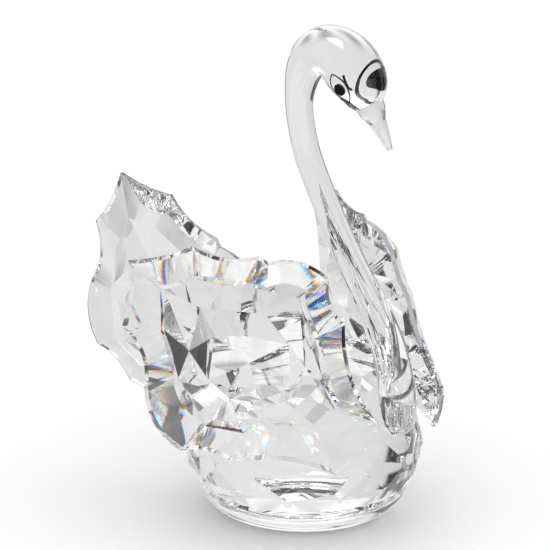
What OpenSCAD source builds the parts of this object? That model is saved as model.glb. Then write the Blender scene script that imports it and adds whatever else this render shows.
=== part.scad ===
// Crystal swan figurine: three equal cut plates (two wings and a tail) around a
// glass hull on a dish, with a bent glass neck and head, a frosted beak and enamel eyes.
// Millimetres. +Z up, the swan looks along +X, origin at the middle of the resting face.

/* [Plates] */
// height of the front table above the middle of the plate
table_rise = 4; // [3:0.1:5]
// depth of the deepest peak at the back below the middle of the plate
back_depth = 10; // [9.5:0.1:10.5]
// half the thickness of the rim
rim_half = 0.6; // [0.4:0.1:1]
// straight cuts along each scallop
scallop_cuts = 6; // [4:1:8]

/* [Wings] */
// angle of a wing plate to the swan's length, opening to the rear
wing_splay = 33.5; // [32:0.5:35]
// inward lean of a wing plate
wing_lean = 13.5; // [12:0.5:15]
// rear top tip of the right wing, distance behind the middle
wing_tip_x = -25.2; // [-27:0.1:-24]
// rear top tip of the right wing, distance from the middle plane
wing_tip_y = -41.3; // [-43:0.1:-40]
// rear top tip of the right wing, height
wing_tip_z = 72.3; // [70:0.1:74]

/* [Tail] */
// downward turn of the tail plate in the middle plane
tail_turn = 25; // [22:0.5:28]
// top tip of the tail, distance behind the middle
tail_tip_x = -57.5; // [-60:0.5:-56]
// top tip of the tail, height
tail_tip_z = 80.5; // [78:0.5:83]

/* [Dish and hull] */
// radius of the resting face
foot_r = 18.6; // [17:0.1:20]
// height of the dish
dish_h = 8; // [7:0.1:9]
// radius of the dish where it meets the hull
dish_r = 27.2; // [26:0.1:28]
// widest radius of the hull
hull_r = 30.3; // [29:0.1:31]
// radius of the hull at its top
crown_r = 21; // [20:0.5:22]
// height of the top of the hull
crown_z = 40; // [38:0.5:42]
// height of the widest ring of corners of the hull
cut_z = 18; // [17:0.5:20]
// flat sides cut round the hull
hull_cuts = 14; // [12:2:18]
// distance from the middle of a wing plate to the seat on the hull
seat_w = 5.5; // [5.2:0.1:5.8]

/* [Head] */
// facets round the neck
neck_sides = 32; // [24:4:40]
// length of the beak
beak_len = 12.4; // [11:0.1:13]
// radius of the beak at the head
beak_r = 3.6; // [3.3:0.1:3.7]
// facets round the beak
beak_sides = 12; // [8:2:16]
// radius of an eye
pupil_r = 1.6; // [1.3:0.1:1.8]
// how far the enamel stands out of the head
enamel = 0.15; // [0.1:0.05:0.25]

/* [Hidden] */

clear = [0.86, 0.92, 0.97, 0.55];
frost = [0.9, 0.93, 0.95, 0.9];
black = [0.05, 0.05, 0.06];

// ---------------------------------------------------------------- cut plate
// rim corners, clockwise from the rear top tip, each with the bow of the edge that follows
rim = [[0, 0, -0.8], [16, 3.5, -1.7], [32.5, 1, 0], [35, -0.5, 2.1], [50, -4.5, -1.6], [54, -16, -2.7],
       [63, -41.5, 0.6], [52.5, -54, -2.2], [26, -50.5, -1.4], [13, -47.5, 2.3], [4, -32, -2.2],
       [-1.5, -16.5, -1]];
// corners of the front table, one for each rim corner
table = [[8, -6], [16.5, -4], [31, -5.5], [34.5, -6.5], [44, -7], [47.5, -18.5], [52, -37.5],
         [46.5, -41.5], [28, -41], [18.5, -40], [11.5, -30.5], [8.5, -17]];
// corners of the outer ring of back facets, one for each rim corner
ring_1 = [[9, -7.5], [17, -5], [29, -6.5], [36, -8], [42.5, -9.5], [46.5, -19.5], [51.5, -37.5],
          [47, -43], [28.5, -42.5], [19, -40.5], [12.5, -29.5], [9, -17.5]];
// peaks of the back facets, the hollows between them, and the middle peak, each with its share of the depth
ring_2 = [[18, -12, 0.5], [34, -13.5, 0.55], [44, -27, 0.8], [40, -37, 0.7], [25, -35, 1], [15, -23, 0.9]];
ring_3 = [[29, -19, 0.4], [40, -21, 0.5], [40.5, -32, 0.4], [33, -35, 0.45], [20, -30, 0.4],
          [21.5, -19, 0.35]];
peak = [30, -26, 0.85];

function bowed(a, b, bow, t) =
  let (d = b - a, side = [-d[1], d[0]] / norm(d))
  a + t * d + 4 * t * (1 - t) * bow * side;

function scalloped(corners, share, w) =
  [for (i = [0 : 11]) for (k = [0 : scallop_cuts - 1])
    let (a = corners[i], b = corners[(i + 1) % 12], p = bowed([a[0], a[1]], [b[0], b[1]], share * rim[i][2],
         k / scallop_cuts))
    [p[0], p[1], w]];

function at_depth(corners) = [for (p = corners) [p[0], p[1], -p[2] * back_depth]];

module plate() {
  n = scallop_cuts;
  m = 12 * n;
  front = scalloped(table, 0.6, table_rise);
  edge = scalloped(rim, 1, rim_half);
  // a narrow steep chamfer runs between the broad bevel and the rim
  chamfer = [for (i = [0 : m - 1]) let (p = 0.13 * front[i] + 0.87 * edge[i]) [p[0], p[1], rim_half + 0.9]];
  points = concat(front, chamfer, edge, scalloped(rim, 1, -rim_half), scalloped(ring_1, 0, -0.4 * back_depth),
                  at_depth(ring_2), at_depth(ring_3), at_depth([peak]), [[30, -24, table_rise]]);
  r2 = 5 * m;
  r3 = r2 + 6;
  middle = r3 + 6;
  top = [for (i = [0 : m - 1]) [middle + 1, i, (i + 1) % m]];
  bands = [for (b = [0 : 3]) for (i = [0 : m - 1])
    let (j = (i + 1) % m, p = b * m)
    each [[p + i, p + m + j, p + j], [p + i, p + m + i, p + m + j]]];
  outer = [for (i = [0 : 11]) for (k = [0 : n - 1])
    [4 * m + (i * n + k + 1) % m, 4 * m + i * n + k, r2 + floor(i / 2)]];
  gores = [for (j = [0 : 5]) [4 * m + (2 * j + 2) % 12 * n, r2 + j, r2 + (j + 1) % 6]];
  inner = [for (j = [0 : 5]) each [[r2 + (j + 1) % 6, r2 + j, r3 + j], [r2 + j, r3 + (j + 5) % 6, r3 + j]]];
  star = [for (j = [0 : 5]) [middle, r3 + (j + 1) % 6, r3 + j]];
  polyhedron(points, concat(top, bands, outer, gores, inner, star));
}

module on_wing() {
  translate([wing_tip_x, wing_tip_y, wing_tip_z])
    rotate([0, 0, wing_splay])
      rotate([90 - wing_lean, 0, 0])
        children();
}

module on_tail() {
  translate([tail_tip_x, 0, tail_tip_z])
    rotate([90, tail_turn, 0])
      children();
}

module right_wing() {
  color(clear)
    difference() {
      on_wing() plate();
      hull_block();
    }
}

module left_wing() {
  mirror([0, 1, 0])
    right_wing();
}

module tail_plate() {
  color(clear)
    difference() {
      on_tail() mirror([0, 0, 1]) plate();
      hull_block();
    }
}

// ---------------------------------------------------------------- dish and hull
module base_dish() {
  // the side swells from the resting face to the hull in a quarter of an ellipse
  side = [for (a = [0 : 10 : 80])
    [foot_r + (dish_r - foot_r) * sin(a) / sin(80), dish_h * (1 - cos(a)) / (1 - cos(80))]];
  color(clear)
    rotate_extrude($fn = 96)
      polygon(concat([[0, 0]], side, [[0, dish_h]]));
}

module level(r, z, sides = 96, turn = 0) {
  translate([0, 0, z])
    rotate([0, 0, turn])
      cylinder(r = r, h = 0.01, $fn = sides);
}

module hull_block() {
  half = 180 / hull_cuts;
  intersection() {
    hull() {
      level(dish_r, dish_h);
      level(hull_r - 0.4, dish_h + 4, hull_cuts, half);
      level(hull_r + 0.7, cut_z, hull_cuts);
      level(hull_r - 0.3, cut_z + 6.5, hull_cuts, half);
      level(hull_r - 3.3, cut_z + 14.5, hull_cuts);
      level(crown_r, crown_z, hull_cuts, half);
    }
    // flat seats for the two wings
    inside_seat();
    mirror([0, 1, 0])
      inside_seat();
  }
}

module inside_seat() {
  on_wing()
    translate([-40, -100, -90 - seat_w])
      cube([140, 150, 90]);
}

module hull_part() {
  color(clear)
    difference() {
      hull_block();
      neck_solid();
    }
}

// ---------------------------------------------------------------- neck and head
// stations from the foot of the neck to the beak: x, z, tilt, half depth, half width
stations = [[28.4, 25, 0, 1.6, 1.6], [28.4, 25.8, 0, 3.2, 3.2], [28.4, 27.6, 0, 4.4, 4.4],
  [28.4, 30.5, 1, 4.9, 4.9], [28.2, 35.5, 5, 4.8, 4.8], [27.2, 42, 13, 4.6, 4.6], [25.1, 48.6, 22, 4.4, 4.4],
  [22, 55, 28, 4.15, 4.15], [18.1, 61.5, 31, 3.9, 3.9], [14, 68.2, 31, 3.7, 3.7], [10.1, 75.2, 28, 3.55, 3.55],
  [6.6, 82, 26, 3.45, 3.45], [3.5, 88.3, 24, 3.45, 3.45], [0.9, 94.3, 19, 3.45, 3.45],
  [-0.8, 100.5, 11, 3.45, 3.45], [-1.6, 105.5, 3, 3.5, 3.5], [-1.6, 109, -4, 3.7, 3.7],
  [-1.1, 112.6, -12, 4.2, 4.1], [0, 116.4, -27, 4.8, 4.7], [1.6, 119.2, -44, 5.3, 5.3],
  [3.5, 121, -64, 5.7, 5.9], [6, 122, -86, 6.2, 6.5], [9, 121.7, -107, 6.8, 7],
  [12, 120.1, -123, 7.4, 7.3], [14.5, 117.8, -136, 7.5, 7.3], [16.7, 115.1, -145, 7, 6.8],
  [18.2, 112.6, -149, 6, 5.9], [19, 110.8, -150, 4.9, 4.9], [19.4, 109.6, -150, 3.8, 3.8]];
last = len(stations) - 1;
steps = 2;

function spline(a, b, c, d, t) =
  0.5 * (2 * b + (c - a) * t + (2 * a - 5 * b + 4 * c - d) * t * t + (3 * b - a - 3 * c + d) * t * t * t);

function station(s) =
  let (i = min(floor(s), last - 1), t = s - i)
  spline(stations[max(i - 1, 0)], stations[i], stations[i + 1], stations[min(i + 2, last)], t);

function ring(p, extra) =
  [for (k = [0 : neck_sides - 1])
    let (a = 360 * k / neck_sides, along = (p[3] + extra) * cos(a))
    [p[0] + along * cos(p[2]), (p[4] + extra) * sin(a), p[1] + along * sin(p[2])]];

module sweep(first, extra) {
  rows = [for (s = [first : 1 / steps : last]) ring(station(s), extra)];
  n = neck_sides;
  m = len(rows);
  sides = [for (i = [0 : m - 2]) for (k = [0 : n - 1])
    let (a = i * n + k, b = i * n + (k + 1) % n)
    each [[a, b + n, b], [a, a + n, b + n]]];
  polyhedron([for (row = rows) each row],
    concat([[for (k = [0 : n - 1]) k]], sides, [[for (k = [0 : n - 1]) m * n - 1 - k]]));
}

module neck_solid() {
  sweep(0, 0);
}

module neck_and_head() {
  color(clear)
    difference() {
      neck_solid();
      both_sides() pupil_disc();
    }
}

module both_sides() {
  children();
  mirror([0, 1, 0])
    children();
}

// a beak of flat facets on a short collar
module on_beak() {
  translate([stations[last][0], 0, stations[last][1]])
    rotate([0, 180 + stations[last][2] + 120, 0])
      children();
}

module beak() {
  levels = [[0, 1, 1], [0.12, 0.97, 0.98], [0.26, 0.78, 0.84], [0.36, 0.6, 0.68], [0.6, 0.45, 0.52],
            [0.88, 0.27, 0.32], [0.97, 0.19, 0.22], [1, 0.1, 0.12]];
  n = beak_sides;
  m = len(levels);
  points = [for (l = levels) for (k = [0 : n - 1])
    [beak_r * l[1] * cos(360 * k / n), beak_r * l[2] * sin(360 * k / n), beak_len * l[0]]];
  sides = [for (i = [0 : m - 2]) for (k = [0 : n - 1])
    let (a = i * n + k, b = i * n + (k + 1) % n)
    each [[a, a + n, b + n], [a, b + n, b]]];
  color(frost)
    on_beak()
      polyhedron(points,
        concat([[for (k = [0 : n - 1]) k]], sides, [[for (k = [0 : n - 1]) (m - 1) * n + n - 1 - k]]));
}

// ---------------------------------------------------------------- eyes
module on_eye() {
  translate([14.7, -6.65, 114.2])
    rotate([108, 0, -7])
      children();
}

module pupil_disc() {
  on_eye()
    translate([0, 0, -0.4])
      cylinder(r = pupil_r, h = 0.4 + enamel, $fn = 48);
}

module right_pupil() {
  color(black)
    pupil_disc();
}

module left_pupil() {
  mirror([0, 1, 0])
    right_pupil();
}

// painted almond round the pupil, with a lash over it
module eye_drawing() {
  difference() {
    almond(0);
    almond(-0.28);
  }
  stroke([1.5, 3.7], [1.9, 2.4]);
  stroke([1.9, 2.4], [2.6, 0.8]);
  stroke([2.6, 0.8], [3.3, 0.3]);
}

module almond(grow) {
  intersection_for (s = [-1, 1])
    rotate([0, 0, -67])
      translate([0, 2.45 * s])
        circle(r = 5.05 + grow, $fn = 96);
}

module stroke(a, b) {
  hull()
    for (p = [a, b])
      translate(p)
        circle(r = 0.28, $fn = 16);
}

module right_eye_line() {
  color(black)
    intersection() {
      difference() {
        sweep(18, enamel);
        sweep(17.5, 0);
      }
      on_eye()
        translate([0, 0, -3])
          linear_extrude(6)
            eye_drawing();
    }
}

module left_eye_line() {
  mirror([0, 1, 0])
    right_eye_line();
}

base_dish();
hull_part();  // hull
right_wing();
left_wing();
tail_plate();
neck_and_head();
beak();
right_pupil();
left_pupil();
right_eye_line();
left_eye_line();
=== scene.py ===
import math

import bmesh
import bpy
import numpy as np
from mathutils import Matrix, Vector


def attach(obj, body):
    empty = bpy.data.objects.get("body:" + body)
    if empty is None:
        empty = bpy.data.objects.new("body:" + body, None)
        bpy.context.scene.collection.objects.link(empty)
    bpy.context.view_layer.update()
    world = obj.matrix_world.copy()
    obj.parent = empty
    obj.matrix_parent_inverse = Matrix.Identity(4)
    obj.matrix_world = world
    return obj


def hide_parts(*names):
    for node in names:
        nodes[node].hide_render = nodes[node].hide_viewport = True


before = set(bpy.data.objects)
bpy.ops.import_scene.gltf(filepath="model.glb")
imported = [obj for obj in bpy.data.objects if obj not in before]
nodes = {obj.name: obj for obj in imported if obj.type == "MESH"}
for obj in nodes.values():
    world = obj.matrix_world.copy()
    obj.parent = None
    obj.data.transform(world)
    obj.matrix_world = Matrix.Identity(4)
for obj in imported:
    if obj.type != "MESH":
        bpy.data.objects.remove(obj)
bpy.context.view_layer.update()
scene = bpy.context.scene
MM = 0.001

# Crystal swan figurine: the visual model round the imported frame. The swan looks along +X.
# Shape numbers are millimetres and turn into metres where a mesh is made.

# ------------------------------------------------------------------ materials


def material(name):
    m = bpy.data.materials.new(name)
    m.use_nodes = True
    nt = m.node_tree
    nt.nodes.clear()
    return m, nt, nt.nodes.new("ShaderNodeOutputMaterial")


def glass_shader(nt, ior, color=(1, 1, 1), rough=0.0):
    g = nt.nodes.new("ShaderNodeBsdfGlass")
    g.inputs["Color"].default_value = (*color, 1)
    g.inputs["Roughness"].default_value = rough
    g.inputs["IOR"].default_value = ior
    return g.outputs[0]


def glass(name, ior, color=(1, 1, 1), rough=0.0):
    m, nt, out = material(name)
    nt.links.new(glass_shader(nt, ior, color, rough), out.inputs["Surface"])
    return m


def prism(name, ior, bands):
    """Clear glass that splits the light going in into bands, each bent by its own index.

    Light already inside the glass meets one plain index, which keeps the render clean.
    """
    m, nt, out = material(name)
    side = nt.nodes.new("ShaderNodeNewGeometry")
    mix = nt.nodes.new("ShaderNodeMixShader")
    inside = glass_shader(nt, ior)
    entering = None
    for color, band_ior in bands:
        band = glass_shader(nt, band_ior, color)
        if entering:
            add = nt.nodes.new("ShaderNodeAddShader")
            nt.links.new(entering, add.inputs[0])
            nt.links.new(band, add.inputs[1])
            entering = add.outputs[0]
        else:
            entering = band
    nt.links.new(side.outputs["Backfacing"], mix.inputs["Fac"])
    nt.links.new(entering, mix.inputs[1])
    nt.links.new(inside, mix.inputs[2])
    nt.links.new(mix.outputs[0], out.inputs["Surface"])
    return m


def principled(name, color, rough):
    m, nt, out = material(name)
    p = nt.nodes.new("ShaderNodeBsdfPrincipled")
    p.inputs["Base Color"].default_value = (*color, 1)
    p.inputs["Roughness"].default_value = rough
    nt.links.new(p.outputs[0], out.inputs["Surface"])
    return m


def bond():
    """Clear glue between two faces that touch: light goes straight through."""
    m, nt, out = material("clear_bond")
    t = nt.nodes.new("ShaderNodeBsdfTransparent")
    nt.links.new(t.outputs[0], out.inputs["Surface"])
    return m


LEAD = 1.56  # index of the heavy glass of the cut pieces
# red to blue; the colours add up to white, and the indices are spread wider than real glass does
BANDS = (
    ((0.5, 0.02, 0), 1.52),
    ((0.45, 0.35, 0.02), 1.54),
    ((0.05, 0.43, 0.13), 1.56),
    ((0, 0.18, 0.4), 1.58),
    ((0, 0.02, 0.45), 1.605),
)
CUT = glass("cut_crystal", LEAD)
RAINBOW = prism("crystal_bevel", LEAD, BANDS)
# The ground rim's grey glass tint is painted shade: it draws the dark outline that the edge shows by
# refraction. The roughness is the ground finish.
GIRDLE_PAINTED_SHADE = glass("ground_edge_painted_shade", LEAD, (0.62, 0.62, 0.65), 0.15)
CLEAR = glass("clear_glass", 1.5)
FROST = glass("frosted_glass", 1.5, (0.97, 0.97, 0.97), 0.12)
ENAMEL = principled("black_enamel", (0.008, 0.008, 0.01), 0.12)
BOND = bond()

# ------------------------------------------------------------------ helpers


def solid(name, verts, faces):
    """A mesh object from points in millimetres."""
    me = bpy.data.meshes.new(name)
    me.from_pydata([Vector(v) * MM for v in verts], [], faces)
    me.validate()
    o = bpy.data.objects.new(name, me)
    scene.collection.objects.link(o)
    return o


def declare(o, mats, stands_for):
    """Makes the object a piece of the one body, shown in place of a CAD node."""
    for m in mats:
        o.data.materials.append(m)
    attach(o, "root")
    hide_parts(stands_for)


def piece(name, verts, faces, mats, stands_for, slot, pick=None):
    """A solid declared as a piece; pick gives each face its material from the face's number."""
    o = solid(name, verts, faces)
    declare(o, mats, stands_for)
    if pick:
        for f in o.data.polygons:
            f.material_index = pick(f.index)
    return o


def carve(o, tool):
    """Takes the tool's solid out of the piece for good."""
    mod = o.modifiers.new("carve", "BOOLEAN")
    mod.operation = "DIFFERENCE"
    mod.solver = "EXACT"
    mod.object = tool
    dg = bpy.context.evaluated_depsgraph_get()
    new = bpy.data.meshes.new_from_object(o.evaluated_get(dg))
    o.modifiers.clear()
    old = o.data
    o.data = new
    new.name = old.name
    bpy.data.meshes.remove(old)


def outward(o):
    """Turns every face outward."""
    bm = bmesh.new()
    bm.from_mesh(o.data)
    bmesh.ops.recalc_face_normals(bm, faces=bm.faces)
    bm.to_mesh(o.data)
    bm.free()


def shade(o, angle):
    """Smooth shading with a crisp edge wherever two faces meet at more than the angle."""
    bm = bmesh.new()
    bm.from_mesh(o.data)
    for f in bm.faces:
        f.smooth = True
    for e in bm.edges:
        e.smooth = len(e.link_faces) == 2 and e.calc_face_angle() < math.radians(angle)
    bm.to_mesh(o.data)
    bm.free()


def drop(*objs):
    """Deletes cutting tools once they have been used."""
    for o in objs:
        me = o.data
        bpy.data.objects.remove(o)
        bpy.data.meshes.remove(me)


# ------------------------------------------------------------------ cut plates
# the CAD plate's own corners: rim corners clockwise from the rear top tip, each with the bow of the edge
# that follows, then the front table's corners and the outer ring at the back, one for each rim corner
RIM = [
    (0, 0, -0.8), (16, 3.5, -1.7), (32.5, 1, 0), (35, -0.5, 2.1), (50, -4.5, -1.6), (54, -16, -2.7),
    (63, -41.5, 0.6), (52.5, -54, -2.2), (26, -50.5, -1.4), (13, -47.5, 2.3), (4, -32, -2.2),
    (-1.5, -16.5, -1),
]
TABLE = [
    (8, -6), (16.5, -4), (31, -5.5), (34.5, -6.5), (44, -7), (47.5, -18.5), (52, -37.5), (46.5, -41.5),
    (28, -41), (18.5, -40), (11.5, -30.5), (8.5, -17),
]
RING_1 = [
    (9, -7.5), (17, -5), (29, -6.5), (36, -8), (42.5, -9.5), (46.5, -19.5), (51.5, -37.5), (47, -43),
    (28.5, -42.5), (19, -40.5), (12.5, -29.5), (9, -17.5),
]
# peaks of the back facets, the hollows between them and the middle peak, each with its share of DEPTH
RING_2 = [(18, -12, 0.5), (34, -13.5, 0.55), (44, -27, 0.8), (40, -37, 0.7), (25, -35, 1), (15, -23, 0.9)]
RING_3 = [
    (29, -19, 0.4), (40, -21, 0.5), (40.5, -32, 0.4), (33, -35, 0.45), (20, -30, 0.4), (21.5, -19, 0.35),
]
PEAK = (30, -26, 0.85)
RISE, DEPTH, HALF_RIM = 4.0, 10.0, 0.6
TABLE_BOW = 0.6  # bow of the table's edges, as a share of the rim's
# the chamfer's inner edge: its share of the way in to the table, and its rise over the rim
CHAMFER_IN, CHAMFER_UP = 0.13, 0.9
CUTS = 14  # straight cuts along each scallop


def bowed(a, b, bow, t):
    """The point a share t along the edge from a to b, which bows sideways."""
    a, b = Vector(a[:2]), Vector(b[:2])
    d = (b - a).normalized()
    p = a.lerp(b, t) + 4 * t * (1 - t) * bow * Vector((-d.y, d.x))
    return p.x, p.y


def scalloped(corners, share, w):
    """A closed ring of scallops through the corners, at height w over the plate's middle."""
    return [
        (*bowed(corners[i], corners[(i + 1) % 12], share * RIM[i][2], k / CUTS), w)
        for i in range(12)
        for k in range(CUTS)
    ]


def plate_mesh():
    """Points, faces and a material for each face: 0 flat cuts, 1 bevels, 2 the ground rim, its glass
    tinted grey as painted shade.
    """
    n, m = CUTS, 12 * CUTS
    table, rim = scalloped(TABLE, TABLE_BOW, RISE), scalloped(RIM, 1, HALF_RIM)
    chamfer = [
        (r[0] + CHAMFER_IN * (t[0] - r[0]), r[1] + CHAMFER_IN * (t[1] - r[1]), HALF_RIM + CHAMFER_UP)
        for t, r in zip(table, rim)
    ]
    pts = (
        table
        + chamfer
        + rim
        + scalloped(RIM, 1, -HALF_RIM)
        + scalloped(RING_1, 0, -0.4 * DEPTH)
        + [(x, y, -share * DEPTH) for x, y, share in RING_2 + RING_3 + [PEAK]]
    )
    r2 = 5 * m
    r3 = r2 + 6
    mid = r3 + 6
    faces, kinds = [list(range(m))[::-1]], [0]
    for b in range(4):
        for i in range(m):
            j, p = (i + 1) % m, b * m
            faces += [(p + i, p + j, p + m + j), (p + i, p + m + j, p + m + i)]
            kinds += [(1, 0, 2, 0)[b]] * 2
    for i in range(12):
        faces.append([4 * m + (i * n + k) % m for k in range(n + 1)] + [r2 + i // 2])
        kinds.append(0)
    for j in range(6):
        k = (j + 1) % 6
        faces += [(4 * m + (2 * j + 2) % 12 * n, r2 + k, r2 + j)]
        faces += [(r2 + j, r2 + k, r3 + j), (r3 + (j + 5) % 6, r2 + j, r3 + j), (mid, r3 + j, r3 + k)]
        kinds += [0] * 4
    return pts, faces, kinds


# a wing plate's own axes: E1 forward, E2 up, NORMAL outward
SPLAY, LEAN = math.radians(33.5), math.radians(13.5)
E1 = Vector((math.cos(SPLAY), math.sin(SPLAY), 0))
NORMAL = Vector(
    (math.sin(SPLAY) * math.cos(LEAN), -math.cos(SPLAY) * math.cos(LEAN), math.sin(LEAN))
)
E2 = NORMAL.cross(E1)
TIP = Vector((-25.2, -41.3, 72.3))
TAIL_X, TAIL_Z, TURN = -57.5, 80.5, math.radians(25)


def on_wing(p, side):
    """A plate point on the right wing (side 1) or the left one (side -1)."""
    q = TIP + p[0] * E1 + p[1] * E2 + p[2] * NORMAL
    return q.x, q.y * side, q.z


def on_tail(p):
    """A plate point on the tail, which stands in the middle plane."""
    return (
        TAIL_X + p[0] * math.cos(TURN) + p[1] * math.sin(TURN),
        p[2],
        TAIL_Z - p[0] * math.sin(TURN) + p[1] * math.cos(TURN),
    )


# ------------------------------------------------------------------ neck and head
# the CAD neck's stations, from its foot to the beak: x, z, tilt in degrees, half depth, half width
STATIONS = [
    (28.4, 25, 0, 1.6, 1.6), (28.4, 25.8, 0, 3.2, 3.2), (28.4, 27.6, 0, 4.4, 4.4),
    (28.4, 30.5, 1, 4.9, 4.9), (28.2, 35.5, 5, 4.8, 4.8), (27.2, 42, 13, 4.6, 4.6),
    (25.1, 48.6, 22, 4.4, 4.4), (22, 55, 28, 4.15, 4.15), (18.1, 61.5, 31, 3.9, 3.9),
    (14, 68.2, 31, 3.7, 3.7), (10.1, 75.2, 28, 3.55, 3.55), (6.6, 82, 26, 3.45, 3.45),
    (3.5, 88.3, 24, 3.45, 3.45), (0.9, 94.3, 19, 3.45, 3.45), (-0.8, 100.5, 11, 3.45, 3.45),
    (-1.6, 105.5, 3, 3.5, 3.5), (-1.6, 109, -4, 3.7, 3.7), (-1.1, 112.6, -12, 4.2, 4.1),
    (0, 116.4, -27, 4.8, 4.7), (1.6, 119.2, -44, 5.3, 5.3), (3.5, 121, -64, 5.7, 5.9),
    (6, 122, -86, 6.2, 6.5), (9, 121.7, -107, 6.8, 7), (12, 120.1, -123, 7.4, 7.3),
    (14.5, 117.8, -136, 7.5, 7.3), (16.7, 115.1, -145, 7, 6.8), (18.2, 112.6, -149, 6, 5.9),
    (19, 110.8, -150, 4.9, 4.9), (19.4, 109.6, -150, 3.8, 3.8),
]
LAST = len(STATIONS) - 1


def station(s):
    """The smooth run between stations (Catmull-Rom), at position s along them."""
    i = min(int(s), LAST - 1)
    t = s - i
    a, b, c, d = (STATIONS[k] for k in (max(i - 1, 0), i, i + 1, min(i + 2, LAST)))
    return [
        0.5 * (2 * q + (r - p) * t + (2 * p - 5 * q + 4 * r - u) * t * t + (3 * q - p - 3 * r + u) * t**3)
        for p, q, r, u in zip(a, b, c, d)
    ]


def neck_mesh(grow=0.0, sides=128, step=0.1):
    """The glass rod from foot to beak, fatter by grow all round."""
    rows = []
    for j in range(round(LAST / step) + 1):
        x, z, tilt, a, b = station(j * step)
        tilt = math.radians(tilt)
        ring = []
        for k in range(sides):
            t = math.tau * k / sides
            along = (a + grow) * math.cos(t)
            ring.append((x + along * math.cos(tilt), (b + grow) * math.sin(t), z + along * math.sin(tilt)))
        rows.append(ring)
    pts = [p for ring in rows for p in ring]
    n = sides
    faces = [list(range(n))[::-1]]
    for i in range(len(rows) - 1):
        for k in range(n):
            a, b = i * n + k, i * n + (k + 1) % n
            faces.append((a, b, b + n, a + n))
    faces.append([len(pts) - n + k for k in range(n)])
    return pts, faces


# ------------------------------------------------------------------ dish
GAP = 0.04  # clearance that the cutting tools leave between two pieces
ROUND = 192  # sides of a round piece
FOOT_R, DISH_R, DISH_H = 18.6, 27.2, 8
ARC = math.radians(80)  # how much of a quarter ellipse the dish's side follows


def ring(r, z, sides, turn=0.0):
    return [
        (r * math.cos(math.tau * k / sides + turn), r * math.sin(math.tau * k / sides + turn), z)
        for k in range(sides)
    ]


def dish_profile():
    """Radius and height up the side, from a softened foot."""
    profile = [(FOOT_R - 0.4, 0), (FOOT_R, 0.12)]
    for degrees in range(6, 78, 4):
        a = math.radians(degrees)
        out, up = math.sin(a) / math.sin(ARC), (1 - math.cos(a)) / (1 - math.cos(ARC))
        profile.append((FOOT_R + (DISH_R - FOOT_R) * out, DISH_H * up))
    return profile + [(DISH_R, DISH_H)]


def lathe(profile):
    """A closed turned solid; its last face is the flat top."""
    n = ROUND
    pts = [p for r, z in profile for p in ring(r, z, n)]
    faces = [list(range(n))[::-1]]
    for i in range(len(profile) - 1):
        for k in range(n):
            a, b = i * n + k, i * n + (k + 1) % n
            faces.append((a, b, b + n, a + n))
    faces.append([len(pts) - n + k for k in range(n)])
    return pts, faces


pts, faces = lathe(dish_profile())
top = len(faces) - 1
dish = piece(
    "crystal_dish", pts, faces, [CLEAR, BOND], "base_dish", "clear_glass", lambda i: int(i == top)
)
outward(dish)
shade(dish, 30)

# ------------------------------------------------------------------ neck, hull, wings and tail
neck = piece("glass_neck_and_head", *neck_mesh(), [CLEAR], "neck_and_head", "clear_glass")
outward(neck)
neck_tool = solid("neck_tool", *neck_mesh(GAP, 96, 0.25))
outward(neck_tool)
shade(neck, 35)

HULL_CUTS = 14
HALF_TURN = math.pi / HULL_CUTS
CROWN_R, CROWN_Z = 21, 40
SEAT = 5.5  # from the middle of a wing plate to its flat seat on the hull


def hull_points(grow=0.0):
    """A round foot, then rings of corners, every other one turned by half a cut."""
    cloud = ring(DISH_R + grow, DISH_H - grow, ROUND)
    for r, z, turn in ((29.9, 12, HALF_TURN), (31, 18, 0), (30, 24.5, HALF_TURN), (27, 32.5, 0)):
        cloud += ring(r + grow, z, HULL_CUTS, turn)
    return cloud + ring(CROWN_R + grow, CROWN_Z + grow, HULL_CUTS, HALF_TURN)


def hull_object(name, grow, seat):
    """The convex body round the rings of corners, with a flat seat cut for each wing."""
    bm = bmesh.new()
    for p in hull_points(grow):
        bm.verts.new(Vector(p) * MM)
    made = bmesh.ops.convex_hull(bm, input=bm.verts)
    spare = made["geom_interior"] + made["geom_unused"]
    loose = list({v for v in spare if isinstance(v, bmesh.types.BMVert)})
    bmesh.ops.delete(bm, geom=loose, context="VERTS")
    for side in (1, -1):
        base = Vector(on_wing((0, 0, -seat), side)) * MM
        n = Vector((NORMAL.x, NORMAL.y * side, NORMAL.z))
        cut = bmesh.ops.bisect_plane(
            bm, geom=bm.verts[:] + bm.edges[:] + bm.faces[:], plane_co=base, plane_no=n, clear_outer=True
        )
        edges = [e for e in cut["geom_cut"] if isinstance(e, bmesh.types.BMEdge)]
        bmesh.ops.contextual_create(bm, geom=edges)
    bmesh.ops.dissolve_limit(bm, angle_limit=0.002, verts=bm.verts, edges=bm.edges)
    bmesh.ops.recalc_face_normals(bm, faces=bm.faces)
    me = bpy.data.meshes.new(name)
    bm.to_mesh(me)
    bm.free()
    o = bpy.data.objects.new(name, me)
    scene.collection.objects.link(o)
    return o


hull = hull_object("crystal_hull", 0.0, SEAT)
declare(hull, [CUT, BOND], "hull")
carve(hull, neck_tool)
for f in hull.data.polygons:
    # the face glued to the dish
    f.material_index = int(f.normal.z < -0.999 and f.center.z < (DISH_H + 0.01) * MM)
shade(hull, 7)
hull_tool = hull_object("hull_tool", GAP, SEAT - GAP)

pts, faces, kinds = plate_mesh()


def plate_piece(name, placed, node):
    """One of the three plates, its points already placed, cut to fit against the hull."""
    mats = [CUT, RAINBOW, GIRDLE_PAINTED_SHADE]
    o = piece(name, placed, faces, mats, node, "cut_crystal", lambda i: kinds[i])
    outward(o)
    carve(o, hull_tool)
    shade(o, 9)


plate_piece("crystal_right_wing", [on_wing(p, 1) for p in pts], "right_wing")
plate_piece("crystal_left_wing", [on_wing(p, -1) for p in pts], "left_wing")
plate_piece("crystal_tail", [on_tail(p) for p in pts], "tail_plate")
drop(neck_tool, hull_tool)

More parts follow.
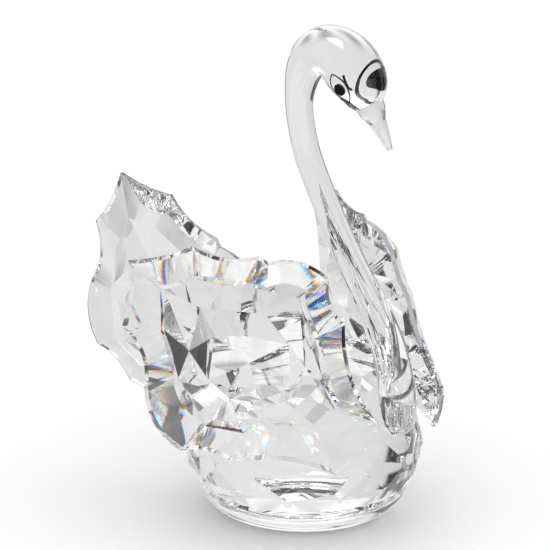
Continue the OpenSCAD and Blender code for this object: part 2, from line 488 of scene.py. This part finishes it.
# ------------------------------------------------------------------ CAD nodes
# the beak and the enamel show as the CAD made them; the rest is hidden behind its pieces
for name, mat in (
    ("beak", FROST),
    ("right_pupil", ENAMEL),
    ("left_pupil", ENAMEL),
    ("right_eye_line", ENAMEL),
    ("left_eye_line", ENAMEL),
):
    nodes[name].data.materials.clear()
    nodes[name].data.materials.append(mat)
for name in ("base_dish", "hull", "right_wing", "left_wing", "tail_plate", "neck_and_head"):
    nodes[name].hide_render = True
    nodes[name].data.materials.clear()
    nodes[name].data.materials.append(CUT)

# ------------------------------------------------------------------ stage
# Refracted and mirrored light sees the studio dome and not the floor. The camera, and light that a plain
# surface scatters, see the floor and the white world and not the dome.
bpy.ops.mesh.primitive_plane_add(size=6)
floor = bpy.context.object
floor.name = "floor"
floor.data.materials.append(principled("floor_white", (0.94, 0.94, 0.945), 0.6))
floor.visible_transmission = False
floor.visible_glossy = False

w = bpy.data.worlds.new("studio")
scene.world = w
w.use_nodes = True
bg = w.node_tree.nodes["Background"]
bg.inputs["Color"].default_value = (1, 1, 1, 1)
bg.inputs["Strength"].default_value = 1.12


def ease(a, b, x):
    """A smooth step from 0 at a to 1 at b."""
    t = np.clip((x - a) / (b - a), 0, 1)
    return t * t * (3 - 2 * t)


# azimuth of the middle, half the width, lowest and highest elevation, brightness, softness of the edge
CARDS = [
    (34, 60, 10, 100, 0.06, 2), (262, 13, -3, 30, 0.04, 2), (148, 8, -28, 4, 0.15, 2),
    (8, 9, -6, 20, 0.2, 2), (292, 15, -60, 30, 0.03, 2), (114, 15, -60, 35, 0.03, 2),
]
CARDS += [(az, 11, -66, -34, 0.04, 2) for az in (11, 56, 101, 146, 281, 326)]
CARDS += [(az, 7, -46, -28, 0.42, 7) for az in (190, 214, 238)]
CARDS += [(az, 9, 46, 72, 0.05, 2) for az in (100, 160, 250)]
CARDS += [(345, 10, -20, 45, 0.12, 2), (70, 10, -40, 10, 1.2, 2), (336, 38, 60, 82, 9.0, 3)]


def studio(x, y, z):
    """How bright the studio is in each direction: a soft grey surround with cards laid over it."""
    az = np.degrees(np.arctan2(x, -y))
    el = np.degrees(np.arcsin(np.clip(z, -1, 1)))

    def card(v, centre, half, low, high, value, soft):
        gap = np.abs((az - centre + 180) % 360 - 180)
        k = (1 - ease(half - soft, half + soft, gap)) * ease(low - soft, low + soft, el)
        return v + (value - v) * k * (1 - ease(high - soft, high + soft, el))

    v = 0.8 + 0.2 * ease(-24, -42, el) + 0.1 * ease(50, 70, el)
    v = card(v, 210, 35, 22, 48, 1.15, 6)
    v = v - 0.12 * ease(0, 1, np.cos(np.radians(az - 300))) * (1 - ease(10, 40, np.abs(el)))
    for row in CARDS:
        v = card(v, *row)
    return v


DOME_R = 2.5
bpy.ops.mesh.primitive_uv_sphere_add(segments=240, ring_count=120, radius=DOME_R)
dome = bpy.context.object
dome.name = "studio_dome"
col = dome.data.color_attributes.new("shade", "FLOAT_COLOR", "POINT")
co = np.empty(3 * len(dome.data.vertices))
dome.data.vertices.foreach_get("co", co)
co = co.reshape(-1, 3) / DOME_R
grey = studio(*co.T)
col.data.foreach_set("color", np.stack([grey, grey, grey, np.ones_like(grey)], axis=1).ravel())
m, nt, out = material("studio_dome")
att = nt.nodes.new("ShaderNodeAttribute")
att.attribute_name = "shade"
em = nt.nodes.new("ShaderNodeEmission")
nt.links.new(att.outputs["Color"], em.inputs["Color"])
nt.links.new(em.outputs[0], out.inputs["Surface"])
dome.data.materials.append(m)
dome.visible_camera = False
dome.visible_diffuse = False
dome.visible_shadow = False

# ------------------------------------------------------------------ camera
target = Vector((-9, 0, 60.7)) * MM
az, el, dist = math.radians(34.0), math.radians(17.0), 0.9
back = Vector((math.sin(az) * math.cos(el), -math.cos(az) * math.cos(el), math.sin(el)))
cam = bpy.data.objects.new("camera", bpy.data.cameras.new("camera"))
scene.collection.objects.link(cam)
cam.location = target + back * dist
cam.rotation_mode = "QUATERNION"
cam.rotation_quaternion = (-back).to_track_quat("-Z", "Y")
cam.data.sensor_width = 36
cam.data.lens = 229.75
cam.data.clip_start, cam.data.clip_end = 0.01, 50
scene.camera = cam

scene.cycles.max_bounces = 28
scene.cycles.transmission_bounces = 28
scene.cycles.glossy_bounces = 16
scene.cycles.transparent_max_bounces = 24
scene.cycles.caustics_reflective = True
scene.cycles.caustics_refractive = True
scene.view_settings.view_transform = "Standard"
